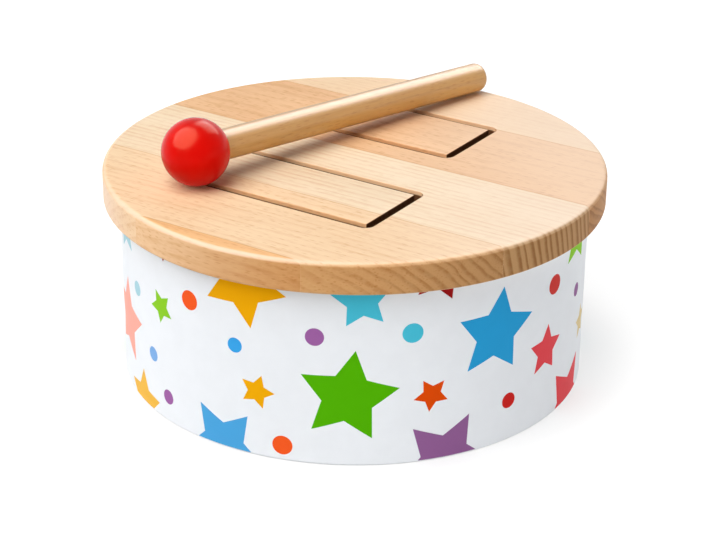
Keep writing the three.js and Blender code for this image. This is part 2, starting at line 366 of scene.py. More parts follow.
# %% Grain, rim and slot walls
FIBRE = {"scale": 1.0, "detail": 3.0, "roughness": 0.6, "stretch": (0.12, 1.6, 1.6)}
FIBRE_SWING = (0.45, 0.6)
TONE = {"scale": 0.04, "stretch": (0.25, 1, 1)}
TONE_SWING = (0.35, 0.8)
RING_BREAKS = {"scale": 1.0, "stretch": (0.08, 0.5, 0.5)}
RING_BREAK_FADE = (0.30, 0.65)
END_GRAIN_RINGS = 0.5
LEVEL_FACE = (0.80, 0.95)
GLUE_TINT = (0.87, 0.76, 0.62, 1)


def grain_shade(place, ring_lines, fibre, rings, end_on):
    """How brown the wood is: broken late wood, fibres and a slow drift of tone."""
    late = times(ring_lines, between(noise(place, **RING_BREAKS), *RING_BREAK_FADE))
    shade = times(late, calc("ADD", rings, times(end_on, END_GRAIN_RINGS)))
    shade = calc("ADD", shade, swing(fibre, *FIBRE_SWING))
    tone = swing(noise(place, **TONE), *TONE_SWING)
    return calc("ADD", shade, tone, clamp=True)


def face_colour(colour, on_piece, facing_z, face_tint):
    level = between(facing_z, *LEVEL_FACE)
    colour = tinted(times(level, glue_mark(on_piece)), colour, GLUE_TINT)
    return tinted(level, colour, face_tint)


# Turns go from -1, where the rim looks left, to 1, where it looks right; the grain ends at both.
# Slopes go from 0 on an upright wall to 1 on a level face.
# Pale tone for painted light: the sheen on the board's face and the light on the rim's left.
PAINTED_LIGHT_TONE = linear(250, 230, 212)
WALL_SLOPE = (0.15, 0.70, 1.0, 0.0)
BROW_TURN = (0.15, 0.55, 0.0, 0.75)
BROW_SLOPE = (0.5, 0.95, 1.0, 0.0)
# Painted light on the rim's left, then the rim's brown tint that deepens into painted shade towards the
# right.
LIT_LEFT_TURN = (-0.70, -0.35, 0.5, 0.0)
RIM_SHADE_TURN = (-0.35, 0.40)
RIM_LIT_TINT = (0.93, 0.91, 0.92, 1)
RIM_BROWN_AND_SHADE_TINT = (0.71, 0.54, 0.36, 1)
# Painted shade on the right end of the rim, where the rings show darker too.
RIGHT_END_SHADE_TURN = (0.30, 1.10)
RIGHT_END_SHADE_TINT = (0.73, 0.68, 0.59, 1)
RING_CONTRAST = 1.5
RING_TINT = (0.56, 0.47, 0.38, 1)
# Painted highlight on the rounded upper edge: where it lies on the slope, its fade at the right, and its
# tones.
EDGE_HIGHLIGHT_SLOPE = (0.10, 0.44)
EDGE_HIGHLIGHT_END_SLOPE = (0.85, 1.0, 0.7, 0.0)
EDGE_HIGHLIGHT_TURN = (0.10, 0.50, 1.0, 0.0)
EDGE_HIGHLIGHT_TONE = linear(232, 199, 174)
FAR_LEFT_HIGHLIGHT_TURN = (-0.68, -0.40)
FAR_LEFT_HIGHLIGHT_TONE = linear(228, 176, 128)
# Painted shade in the slots: depths in mm where it starts and where it is full, then the lip's tint and the
# shade tints.
SLOT_SHADE_START = 1.2
SLOT_SHADE_FULL = 1.75
SLOT_TOP_TINT = (1.0, 0.82, 0.66, 1)
SLOT_DEPTH_SHADE_TINT = (0.20, 0.11, 0.06, 1)
SLOT_END_SHADE_TINT = (0.19, 0.11, 0.065, 1)


def rim_colour(colour, rim, facing_x, facing_z, ring_lines, rings):
    """The rim: browner, painted light at the left, painted shade and dark rings at the right, a painted
    highlight above.
    """
    slope = calc("ABSOLUTE", facing_z)
    brow = times(between(facing_x, *BROW_TURN), between(slope, *BROW_SLOPE))
    edge = times(calc("MAXIMUM", between(slope, *WALL_SLOPE), brow), rim)
    # Painted light: the rim pales where it looks left.
    colour = mixed(times(edge, between(facing_x, *LIT_LEFT_TURN)), colour, PAINTED_LIGHT_TONE)
    # Side grain is browner than the face; the tint deepens from left to right as painted shade, also over the
    # right brow.
    rim_tint_and_shade = mixed(between(facing_x, *RIM_SHADE_TURN), RIM_LIT_TINT, RIM_BROWN_AND_SHADE_TINT)
    colour = tinted(edge, colour, rim_tint_and_shade)
    # Painted shade on the right end grain, with its real rings drawn darker inside it.
    right_end_shade = times(edge, between(facing_x, *RIGHT_END_SHADE_TURN))
    colour = tinted(right_end_shade, colour, RIGHT_END_SHADE_TINT)
    ringed = times(times(ring_lines, right_end_shade), rings * RING_CONTRAST, clamp=True)
    colour = tinted(ringed, colour, RING_TINT)
    # Painted highlight along the rounded upper edge, fading to the right and browner at the far left.
    edge_highlight = times(between(facing_z, *EDGE_HIGHLIGHT_SLOPE), between(facing_z, *EDGE_HIGHLIGHT_END_SLOPE))
    edge_highlight = times(times(edge_highlight, rim), between(facing_x, *EDGE_HIGHLIGHT_TURN))
    highlight_colour = mixed(between(facing_x, *FAR_LEFT_HIGHLIGHT_TURN), FAR_LEFT_HIGHLIGHT_TONE, EDGE_HIGHLIGHT_TONE)
    return mixed(edge_highlight, colour, highlight_colour)


def slot_colour(colour, routed, on_piece, end_on):
    """The walls of the slots: warm at the lip, with painted shade below it and on the end walls."""
    top = LID_TOP / MM
    height = axis(on_piece, "Z")
    # Painted shade: the walls darken below the lip, and the end walls are dark all the way up.
    shade_depth = between(height, top - SLOT_SHADE_FULL, top - SLOT_SHADE_START, 1.0, 0.0)
    slot_shade = mixed(shade_depth, SLOT_TOP_TINT, SLOT_DEPTH_SHADE_TINT)
    slot_shade = mixed(end_on, slot_shade, SLOT_END_SHADE_TINT)
    return tinted(routed, colour, slot_shade)


print("slot walls turn dark between, mm deep:", SLOT_SHADE_START, SLOT_SHADE_FULL)

# %% Beech finishes
END_ON = (0.35, 0.95)
FLECK_TINT = (0.80, 0.66, 0.50, 1)
FLECK_RELIEF = 0.5
# Painted sheen: the face pales towards this direction, over this reach in mm.
SHEEN_DIRECTION = (0.84, 0.54, 0.0)
SHEEN_REACH = (-10.0, 100.0)
BARE_SMOOTH = 0.48
BARE_DULL = 0.58
POLISH = 0.2
GRAIN_RELIEF = (0.03, 0.4)


def marked(place, name):
    """A number that the mesh carries on each face."""
    attribute = place.id_data.nodes.new("ShaderNodeAttribute")
    attribute.attribute_name = name
    return attribute.outputs["Fac"]


def beech(name, pale, brown, ring_angle, ring_pitch, rings, flecks, offset, drift=5.0, gloss=0.10,
          painted_sheen_share=0.55, sheen_direction=SHEEN_DIRECTION, face_tint=WHITE):
    """Lacquered beech with its grain along the piece's own X; the ring angle is from standing rings."""
    material, on_piece = new_finish(name, {"Specular IOR Level": gloss})
    place = node("ShaderNodeVectorMath", {0: on_piece, 1: offset}).outputs[0]
    facing_x = facing(place, "X")
    facing_z = facing(place, "Z")
    end_on = between(calc("ABSOLUTE", facing_x), *END_ON)
    ring_lines = growth_rings(place, ring_angle, ring_pitch, drift)
    fibre = noise(place, **FIBRE)
    fleck = ray_dashes(place)
    shade = grain_shade(place, ring_lines, fibre, rings, end_on)
    colour = mixed(shade, linear(*pale), linear(*brown))
    colour = tinted(times(fleck, flecks), colour, FLECK_TINT)
    # Painted sheen: the face pales towards the back right, as far as each stave's share says.
    painted_sheen = between(dot(on_piece, sheen_direction), *SHEEN_REACH, 0.0, painted_sheen_share)
    colour = mixed(painted_sheen, colour, PAINTED_LIGHT_TONE)
    colour = face_colour(colour, on_piece, facing_z, face_tint)
    colour = rim_colour(colour, marked(place, "rim"), facing_x, facing_z, ring_lines, rings)
    colour = slot_colour(colour, marked(place, "routed"), on_piece, end_on)
    relief = calc("SUBTRACT", fibre, times(fleck, FLECK_RELIEF))
    polish = POLISH * gloss
    return coat(material, colour, fibre, BARE_SMOOTH - polish, BARE_DULL - polish, *GRAIN_RELIEF, relief)


# Each: pale and brown tone, ring angle and pitch, strength of rings and flecks, place in the tree.
STAVE_FINISHES = {
    1: beech("beech stave 1", (249, 217, 178), (230, 184, 137), 24, 3.1, 0.30, 0.45, (310, 40, 5)),
    2: beech("beech stave 2", (241, 194, 146), (213, 154, 100), 62, 3.4, 0.35, 0.90, (70, 210, 30),
             painted_sheen_share=0.42, sheen_direction=(0.70, 0.71, 0.0)),
    3: beech("beech stave 3", (250, 226, 193), (231, 188, 143), 14, 3.2, 0.55, 0.40, (150, 90, 60),
             drift=2.5),
    4: beech("beech stave 4", (249, 217, 177), (226, 176, 124), 42, 3.0, 0.35, 0.70, (20, 330, 15)),
    5: beech("beech stave 5", (247, 209, 164), (222, 168, 114), 48, 3.0, 0.40, 0.70, (250, 260, 45),
             face_tint=(1.0, 0.86, 0.68, 1)),
}
DOWEL_FINISH = beech("beech dowel", (189, 141, 74), (161, 110, 48), 30, 2.2, 0.34, 0.80, (410, 15, 25),
                     gloss=0.9, painted_sheen_share=0.0)
print("beech finishes:", len(STAVE_FINISHES) + 1)

# %% [markdown]
# ## The soundboard
#
# Planks of beech are glued edge to edge, turned to a disc and rounded over with a router. The same router
# cuts the U-shaped slots, so their outer corners are round, and the tongue keeps sharp corners inside them.
# Slots can be cut by booleans, but those leave long thin faces that shade badly. So each stave is drawn as
# an outline seen from above, and the board is stacked from that outline at many heights, drawn in a little
# where its edges are rounded.

# %% Measures of the soundboard
LID_RADIUS = max(high.x for low, high in staves.values())
LID_BOTTOM = staves[3][0].z
GLUE_GAP = 0.008 * MM
TOP_ROUND = 2.0 * MM
BOTTOM_ROUND = 0.8 * MM
SLOT_EASE = 0.2 * MM
BIT_RADIUS = 1.75 * MM
SLOT_CORNER = 3.8 * MM
TIP_SLOT = 3.2 * MM
ROOT_GAP = 0.04 * MM
tongue_boxes = {
    "front_tongue": [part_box("front_tongue_stave_3"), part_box("front_tongue_stave_4")],
    "rear_tongue": [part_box("rear_tongue_stave_2")],
}
root_x = round(tongue_boxes["rear_tongue"][0][0].x, 3)
print("lid radius and place of the tongues' roots, mm:", in_mm((LID_RADIUS, root_x)))

# %% Outline of a tongue's window
CORNER_STEPS = 8
END_STEPS = 12


def arc(centre, radius, start, end, steps):
    """Points on an arc, both ends included; angles in degrees."""
    turns = [math.radians(start + (end - start) * step / steps) for step in range(steps + 1)]
    return [Vector((centre[0] + radius * math.cos(a), centre[1] + radius * math.sin(a))) for a in turns]


def window(boxes, ease):
    """The outline round a tongue: slots on three sides, its root on the fourth."""
    near = min(low.y for low, high in boxes) - BIT_RADIUS
    far = max(high.y for low, high in boxes) + BIT_RADIUS
    reach = BIT_RADIUS + ease
    corner = SLOT_CORNER + ease
    right = max(high.x for low, high in boxes) + TIP_SLOT - SLOT_CORNER
    points = arc((right, near - reach + corner), corner, -90, 0, CORNER_STEPS)
    points += arc((right, far + reach - corner), corner, 0, 90, CORNER_STEPS)
    points += arc((root_x, far), reach, 90, 270, END_STEPS)
    return points + arc((root_x, near), reach, 90, 270, END_STEPS)


print("points in the windows:", [len(window(boxes, 0)) for boxes in tongue_boxes.values()])

# %% Outlines of the staves
RIM_STEPS = 48


def part_of_loop(loop, edge_y, above):
    """The stretch of an outline on one side of a glue line, with its crossing points."""
    def inside(point):
        return (point.y > edge_y) == above
    first = next(index for index, point in enumerate(loop) if not inside(point))
    turned_loop = loop[first:] + loop[:first + 1]
    stretch = []
    for here, there in zip(turned_loop, turned_loop[1:]):
        if inside(here) != inside(there):
            stretch.append(here.lerp(there, (edge_y - here.y) / (there.y - here.y)))
        if inside(there):
            stretch.append(there)
    return stretch


def crossing(loops, edge_y, above):
    """The notch that a window leaves in a stave's edge, in the stave's direction."""
    notch = []
    for loop in loops:
        heights = [point.y for point in loop]
        if min(heights) < edge_y < max(heights):
            notch += reversed(part_of_loop(loop, edge_y, above))
    return notch


def stave_outline(number, rim, ease):
    """One stave from above, anticlockwise: right rim, back edge, left rim, front edge."""
    loops = [window(boxes, ease) for boxes in tongue_boxes.values()]
    back = GLUE_LINES[number - 2] - GLUE_GAP if number > 1 else None
    front = GLUE_LINES[number - 1] + GLUE_GAP if number < 5 else None
    low_turn = math.degrees(math.asin(front / rim)) if front is not None else -90
    high_turn = math.degrees(math.asin(back / rim)) if back is not None else 90
    right = arc((0, 0), rim, low_turn, high_turn, RIM_STEPS)
    left = arc((0, 0), rim, 180 - high_turn, 180 - low_turn, RIM_STEPS)
    if back is None:
        left = left[1:]
    if front is None:
        left = left[:-1]
    notch_back = crossing(loops, back, above=False) if back is not None else []
    notch_front = crossing(loops, front, above=True) if front is not None else []
    return right + notch_back + left + notch_front


print("points in the stave outlines:", [len(stave_outline(number, LID_RADIUS, 0)) for number in staves])

# %% Rounded edges of the board
TOP_STEPS = 8
BOTTOM_STEPS = 5
EASE_STEPS = 3


def quarter_steps(radius, steps):
    return [radius * math.sin(math.pi / 2 * step / steps) for step in range(steps + 1)]


def board_levels():
    """The heights at which a board's outline changes."""
    lower = [LID_BOTTOM + BOTTOM_ROUND - rise for rise in quarter_steps(BOTTOM_ROUND, BOTTOM_STEPS)]
    upper = [LID_TOP - TOP_ROUND + rise for rise in quarter_steps(TOP_ROUND, TOP_STEPS)]
    eased = [LID_TOP - SLOT_EASE + rise for rise in quarter_steps(SLOT_EASE, EASE_STEPS)]
    return sorted({round(level, 7) for level in lower + upper + eased})


def rim_lean(level):
    """How far the rim looks up at a height: -1 below, 0 on the wall, 1 on top."""
    above = level - (LID_TOP - TOP_ROUND)
    below = (LID_BOTTOM + BOTTOM_ROUND) - level
    return min(1, max(0, above / TOP_ROUND)) - min(1, max(0, below / BOTTOM_ROUND))


def rim_at(level):
    lean = rim_lean(level)
    edge = TOP_ROUND if lean > 0 else BOTTOM_ROUND
    return LID_RADIUS - edge * (1 - math.sqrt(1 - lean * lean))


def ease_at(level):
    """How much wider a slot is at a height, because its upper edge is eased."""
    rise = max(0, level - (LID_TOP - SLOT_EASE))
    return SLOT_EASE - math.sqrt(max(0, SLOT_EASE ** 2 - rise ** 2))


print("levels of the board, mm:", in_mm(board_levels()))

# %% Boards from outlines
SMOOTH_ANGLE = math.radians(32)
ON_RIM = 0.001 * MM
SAME_TURN = 0.9995
UPRIGHT = 1e-3


def finished_object(name, bm, material):
    """A bmesh as an object with soft shading, crisp corners and one material."""
    mesh = bpy.data.meshes.new(name)
    bmesh.ops.recalc_face_normals(bm, faces=bm.faces)
    bm.to_mesh(mesh)
    bm.free()
    mesh.shade_smooth()
    mesh.set_sharp_from_angle(angle=SMOOTH_ANGLE)
    mesh.materials.append(material)
    return placed(name, mesh)


def set_normals(mesh, rule):
    """Gives each corner of each face the shading normal that a rule works out."""
    normals = []
    for face in mesh.polygons:
        normals += [rule(face, mesh.vertices[index].co) for index in face.vertices]
    mesh.normals_split_custom_set(normals)


def edge_kind(start, end, rim):
    """What an edge of a board's outline is: rim, root, glue line or slot."""
    if min(start.length, end.length) > rim - ON_RIM:
        return "rim"
    if max(abs(start.x - root_x), abs(end.x - root_x)) < 2 * ROOT_GAP:
        return "root"
    on_line = [min(abs(point.y - line) for line in GLUE_LINES) < 2 * GLUE_GAP for point in (start, end)]
    return "glue" if all(on_line) else "slot"


def board_mesh(outline_at):
    """A board of the lid's thickness, stacked from the outlines at its levels."""
    bm = bmesh.new()
    routed = bm.faces.layers.float.new("routed")
    on_rim = bm.faces.layers.float.new("rim")
    levels = board_levels()
    outlines = [outline_at(level) for level in levels]
    top = outlines[-1]
    kinds = [edge_kind(start, end, rim_at(levels[-1])) for start, end in zip(top, top[1:] + top[:1])]
    rows = []
    for outline, level in zip(outlines, levels):
        rows.append([bm.verts.new((point.x, point.y, level)) for point in outline])
    bm.faces.new(list(reversed(rows[0])))
    bm.faces.new(rows[-1])
    for lower, upper in zip(rows, rows[1:]):
        for index, kind in enumerate(kinds):
            after = (index + 1) % len(kinds)
            wall = bm.faces.new((lower[index], lower[after], upper[after], upper[index]))
            wall[routed] = 1.0 if kind == "slot" else 0.0
            wall[on_rim] = 1.0 if kind == "rim" else 0.0
    return bm


def board_normal(face, place):
    """Flat faces keep their own normal; the rim turns smoothly from its wall to the top."""
    outward = Vector((place.x, place.y, 0)).normalized()
    level_part = Vector((face.normal.x, face.normal.y, 0))
    on_rim = level_part.length > UPRIGHT and level_part.normalized().dot(outward) > SAME_TURN
    if not on_rim or math.hypot(place.x, place.y) < LID_RADIUS - TOP_ROUND - 10 * ON_RIM:
        return face.normal.copy()
    lean = rim_lean(place.z)
    return outward * math.sqrt(max(0, 1 - lean * lean)) + Vector((0, 0, lean))


for number in staves:
    bm = board_mesh(lambda level: stave_outline(number, rim_at(level), ease_at(level)))
    stave = finished_object(f"stave_{number}", bm, STAVE_FINISHES[number])
    set_normals(stave.data, board_normal)
    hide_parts(f"soundboard_stave_{number}")
    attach(stave, "drum")
    print(stave.name, "faces:", len(stave.data.polygons))

# %% [markdown]
# ## The tongues
#
# A tongue is the same wood as the staves round it and is still one with them at its root. When it is struck
# it bends near the root, where a plain hinge would open a crack. The tongue's mesh is cut across several
# times along its length.

# %% Tongues
CUTS_ACROSS = 10
AT_GLUE = 0.3 * MM


def tongue_strip(name, body, number):
    """The part of a tongue that one stave gives, from its root to its tip, cut across along its length."""
    low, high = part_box(f"{body}_stave_{number}")
    glued_near = [line for line in GLUE_LINES if abs(low.y - line) < AT_GLUE]
    glued_far = [line for line in GLUE_LINES if abs(high.y - line) < AT_GLUE]
    start = root_x + ROOT_GAP

    def outline_at(level):
        ease = ease_at(level)
        near = glued_near[0] + GLUE_GAP if glued_near else low.y + ease
        far = glued_far[0] - GLUE_GAP if glued_far else high.y - ease
        tip = high.x - ease
        return [Vector(corner) for corner in ((start, near), (tip, near), (tip, far), (start, far))]

    bm = board_mesh(outline_at)
    for cut in range(1, CUTS_ACROSS):
        where = (start + (high.x - start) * cut / CUTS_ACROSS, 0, 0)
        whole = bm.verts[:] + bm.edges[:] + bm.faces[:]
        bmesh.ops.bisect_plane(bm, geom=whole, plane_co=where, plane_no=(1, 0, 0))
    strip = finished_object(name, bm, STAVE_FINISHES[number])
    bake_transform(strip)
    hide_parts(f"{body}_stave_{number}")
    return strip


for body, number in (("front_tongue", 3), ("front_tongue", 4), ("rear_tongue", 2)):
    strip = tongue_strip(f"{body}_strip_{number}", body, number)
    print(strip.name, "faces:", len(strip.data.polygons))

# %% [markdown]
# ## The shell
#
# Thin plywood is bent into a hoop and lacquered white. A cylinder with bevelled edges would do for it. Here
# a profile with eased edges is swept once round the axis, because the same helper can then turn the ball,
# the dowel, the base and the screws.

# %% White lacquer
SATIN_SKIN = {"scale": 1.2, "detail": 3.0, "stretch": (1, 1, 0.12)}
# Roughness where the skin is smooth and dull, then depth in millimetres and strength of its relief.
SATIN = (0.44, 0.54, 0.02, 0.3)
material, place = new_finish("white lacquer", {"Specular IOR Level": 0.2})
patch = between(noise(place, 0.035, 3.0), *PATCH_RANGE)
colour = mixed(patch, linear(244, 247, 251), linear(242, 245, 249))
shell_finish = coat(material, colour, noise(place, **SATIN_SKIN), *SATIN)
print("finish:", shell_finish.name)

# %% Shell
FILM = 0.15 * MM
FILM_GAP = 0.01 * MM
FOOT_EASE = 0.6 * MM
FOOT_STEPS = 4
RING_GAP = 0.3 * MM
SEAM_WELD = 1e-7
shell_low, shell_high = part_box("shell_hoop")
SHELL_RADIUS = shell_high.x
SHELL_WALL = SHELL_RADIUS - max(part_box("head_ring")[1].x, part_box("base_panel")[1].x) - RING_GAP


def turned(name, profile, material, steps=192):
    """A piece turned on the lathe: a profile of radius and height, swept round Z."""
    bm = bmesh.new()
    rings = [bm.verts.new((radius, 0, height)) for radius, height in profile]
    lines = [bm.edges.new(pair) for pair in zip(rings, rings[1:])]
    bmesh.ops.spin(bm, geom=rings + lines, cent=(0, 0, 0), axis=(0, 0, 1), angle=math.tau, steps=steps,
                   use_merge=True)
    bmesh.ops.remove_doubles(bm, verts=bm.verts, dist=SEAM_WELD)
    return finished_object(name, bm, material)


outside = SHELL_RADIUS - FILM - FILM_GAP - FOOT_EASE
inside = SHELL_RADIUS - SHELL_WALL + FOOT_EASE
foot = shell_low.z + FOOT_EASE
top = shell_high.z - FOOT_EASE
profile = []
for quarter, centre in enumerate(((outside, foot), (outside, top), (inside, top), (inside, foot))):
    profile += arc(centre, FOOT_EASE, 90 * quarter - 90, 90 * quarter, FOOT_STEPS)
shell = turned("shell", profile + profile[:1], shell_finish)
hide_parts("shell_hoop")
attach(shell, "drum")
print("shell radius and wall, mm:", in_mm((SHELL_RADIUS, SHELL_WALL)))

# %% [markdown]
# ## The print
#
# A printed sheet is wrapped round the hoop, and its ends meet in a seam at the back. The stars and dots could
# be a picture on the shell, but a picture blurs when the camera comes close. So they are laid out on the flat
# sheet, as a printer would, their outlines become cuts in its mesh, and then the sheet is wrapped round.

# %% Stars and dots
SHEET_START = -234
STAR_INNER = 0.51
DOT_STEPS = 28
# Each star: turn round the shell in degrees, height, tip radius, lean of one tip in degrees, ink.
STARS = [
    (-129.4, 29.1, 17.8, 13, "salmon"), (-129.3, 68.3, 12, 30, "pale cyan"),
    (-118.4, 1.2, 13.3, 18, "orange"), (-108.5, 47.3, 7, 48, "lime"), (-107.1, 76.5, 10, 54, "dark red"),
    (-88.6, 1, 18, 54, "sky"), (-83, 68.8, 17.2, 65, "amber"), (-79.6, 26.8, 7.1, 2, "amber"),
    (-58.3, 28.4, 19.1, 10, "green"), (-55.4, 67, 11.4, 25, "cyan"), (-39, 27.5, 7, 47, "vermilion"),
    (-37.4, 75.6, 11.4, 4, "dark red"), (-35.3, 0, 19.1, 60, "purple"), (-22.4, 47.1, 18, 10, "blue"),
    (-5, 30.6, 10.5, 13, "crimson"), (8.1, -0.3, 19.7, 55, "crimson"), (10.2, 70.2, 14, 8, "lime"),
    (17.5, 27.5, 7.5, 20, "pale yellow"), (36, 47, 18, 12, "salmon"), (42, 3, 14, 30, "cyan"),
    (60, 22, 9, 5, "purple"), (62, 69, 15, 44, "amber"), (84, 34, 18.5, 11, "green"),
    (92, 1, 12, 24, "vermilion"), (104, 62, 8, 50, "crimson"), (119.5, 26, 7.5, 20, "cyan"),
    (138, 66, 13, 20, "blue"), (141, 18, 18, 8, "amber"), (163, 44, 8, 40, "lime"),
    (166, 0, 15, 58, "crimson"), (184, 66, 16, 63, "purple"), (190, 27, 17.5, 12, "sky"),
    (211, 4, 13, 20, "green"), (209, 50, 8, 4, "vermilion"),
]
# Each dot: turn round the shell in degrees, height, radius, ink.
DOTS = [
    (-120.6, 47, 3, "pale cyan"), (-112.7, 24.8, 3, "light blue"), (-106.6, 10.5, 3, "violet"),
    (-98, 55.9, 3.9, "orange red"), (-85.1, 43.7, 3, "azure"), (-73.4, 6.4, 3.9, "orange red"),
    (-65.9, 52.1, 3.5, "violet"), (-43.8, 53.4, 3.9, "cyan"), (-18, 16.8, 3.2, "scarlet"),
    (-2.5, 56.2, 4, "red"), (11, 45.3, 2.8, "purple"), (27, 15, 3.5, "blue"), (51, 57, 3, "vermilion"),
    (66, 45, 3.9, "cyan"), (75, 9, 3, "amber"), (97, 57, 3, "purple"), (110, 14, 3.9, "blue"),
    (113, 44, 3, "red"), (150, 45, 3.9, "vermilion"), (155, 25, 3, "light blue"),
    (175, 20, 3.2, "dark red"), (199, 52, 3.9, "cyan"), (204, 30, 3, "salmon"), (177, 47, 3, "amber"),
]


def sheet_point(turn, height):
    """A place on the flat sheet, in metres, from a turn in degrees and a height in mm."""
    from_seam = (turn - SHEET_START) % 360
    return Vector((math.radians(SHEET_START + from_seam) * SHELL_RADIUS, height * MM))


def star_outline(turn, height, radius, lean):
    middle = sheet_point(turn, height)
    points = []
    for corner in range(10):
        reach = radius * MM * (STAR_INNER if corner % 2 else 1)
        angle = math.radians(lean + 36 * corner)
        points.append(middle + Vector((math.cos(angle), math.sin(angle))) * reach)
    return points


def dot_outline(turn, height, radius):
    middle = sheet_point(turn, height)
    turns = [math.tau * step / DOT_STEPS for step in range(DOT_STEPS)]
    return [middle + Vector((math.cos(a), math.sin(a))) * radius * MM for a in turns]


motifs = [(star_outline(*star), ink) for *star, ink in STARS]
motifs += [(dot_outline(*spot), ink) for *spot, ink in DOTS]
print("stars:", len(STARS), "dots:", len(DOTS))

# %% Inks
INKS = {
    "paper": (244, 247, 251), "green": (82, 178, 0), "lime": (140, 204, 36),
    "amber": (246, 174, 0), "orange": (244, 188, 72), "vermilion": (228, 76, 4),
    "red": (208, 58, 52), "orange red": (250, 92, 34), "scarlet": (208, 36, 32),
    "dark red": (160, 22, 24), "crimson": (232, 74, 82), "salmon": (250, 172, 156),
    "purple": (148, 97, 150), "violet": (160, 98, 164), "blue": (44, 162, 220),
    "azure": (58, 166, 236), "sky": (78, 168, 226), "cyan": (74, 196, 222),
    "light blue": (128, 176, 232), "pale cyan": (172, 214, 226), "pale yellow": (228, 206, 150),
}
INK_CLOUD = {"scale": 0.12, "detail": 4.0, "roughness": 0.6}
INK_DRIFT = (0.25, 0.75, 0.985, 1.01)


def ink_finish(name, colour):
    """Satin printing ink: its tone drifts a little and the paper's tooth shows in the gloss."""
    material, place = new_finish(f"print {name}", {"Specular IOR Level": 0.06})
    patch = between(noise(place, **INK_CLOUD), *INK_DRIFT)
    shade = node("ShaderNodeCombineColor", {0: patch, 1: patch, 2: patch}).outputs[0]
    colour = tinted(1.0, linear(*colour), shade)
    return coat(material, colour, noise(place, **SATIN_SKIN), *SATIN)


ink_finishes = [ink_finish(name, colour) for name, colour in INKS.items()]
print("inks:", len(ink_finishes))

# %% Motifs cut into the flat sheet
SHEET_MARGIN = 0.7 * MM
SHEET_HEAD = shell_high.z - SHEET_MARGIN
COLUMN_STEP = 1.5
CUT_WELD = 1e-7
left = math.radians(SHEET_START) * SHELL_RADIUS
right = left + math.tau * SHELL_RADIUS
corners = ((left, SHEET_MARGIN), (right, SHEET_MARGIN), (right, SHEET_HEAD), (left, SHEET_HEAD))
points = [Vector(corner) for corner in corners]
faces = [[0, 1, 2, 3]]
for outline, ink in motifs:
    faces.append(list(range(len(points), len(points) + len(outline))))
    points += outline
lines = []
for column in range(1, round(360 / COLUMN_STEP)):
    across = left + math.radians(column * COLUMN_STEP) * SHELL_RADIUS
    lines.append((len(points), len(points) + 1))
    points += [Vector((across, SHEET_MARGIN)), Vector((across, SHEET_HEAD))]
cut = delaunay_2d_cdt(points, lines, faces, 0, CUT_WELD)
flat = cut[0]
cells = cut[2]
outer_faces = cut[5]
print("cells of the flat sheet:", len(cells))

# %% Sheet wrapped round the shell
SHEET_WELD = 1e-6
FLAT_ON = 0.7


def sheet_normal(face, place):
    """Straight out of the shell or into it, so that the sheet shades as a smooth hoop."""
    outward = Vector((place.x, place.y, 0)).normalized()
    look = face.normal.dot(outward)
    return outward * math.copysign(1, look) if abs(look) > FLAT_ON else face.normal.copy()


ink_names = list(INKS)
bm = bmesh.new()
wrapped = []
for point in flat:
    turn = point.x / SHELL_RADIUS
    wrapped.append(bm.verts.new((SHELL_RADIUS * math.cos(turn), SHELL_RADIUS * math.sin(turn), point.y)))
for cell, sources in zip(cells, outer_faces):
    if 0 in sources:
        face = bm.faces.new([wrapped[index] for index in cell])
        inked = [motifs[source - 1][1] for source in sources if source > 0]
        face.material_index = ink_names.index(inked[-1]) if inked else 0
bmesh.ops.delete(bm, geom=[vert for vert in bm.verts if not vert.link_faces], context="VERTS")
bmesh.ops.remove_doubles(bm, verts=bm.verts, dist=SHEET_WELD)
bmesh.ops.recalc_face_normals(bm, faces=bm.faces)
bmesh.ops.solidify(bm, geom=bm.faces[:], thickness=FILM)
sheet = finished_object("shell_print", bm, ink_finishes[0])
for finish in ink_finishes[1:]:
    sheet.data.materials.append(finish)
set_normals(sheet.data, sheet_normal)
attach(sheet, "drum")
print("printed sheet faces:", len(sheet.data.polygons))

# %% [markdown]
# ## The mallet
#
# The head is a turned ball, dipped in red lacquer, with a blind hole for the dowel. Its red is painted darker
# towards the underside, as shade, and the lacquer pulls a little off the lip of the hole. The handle is a
# beech dowel with a rounded end. A ready-made sphere has no hole and no soft lip, so both pieces are turned
# from a profile on their own axis and then laid on the drum where the construction model has them.

# %% Red lacquer
# Painted shade: heights in mm over which the red darkens towards the underside, and its tint.
UNDERSIDE_SHADE_RANGE = (-8.5, 3.5, 1.0, 0.0)
UNDERSIDE_SHADE_TINT = (0.70, 0.66, 0.66, 1)
SHEEN_TINT = (1.0, 0.80, 0.44, 1)
LACQUER = (0.18, 0.22, 0.01, 0.3)
material, place = new_finish("red lacquer", {"Specular IOR Level": 0.13, "Specular Tint": SHEEN_TINT})
patch = between(noise(place, 0.11, 3.0), *PATCH_RANGE)
colour = mixed(patch, linear(210, 2, 1), linear(202, 2, 1))
# Painted shade: the red darkens towards the underside.
colour = tinted(between(axis(place, "Z"), *UNDERSIDE_SHADE_RANGE), colour, UNDERSIDE_SHADE_TINT)
ball_finish = coat(material, colour, noise(place, 0.45), *LACQUER)
print("finish:", ball_finish.name)

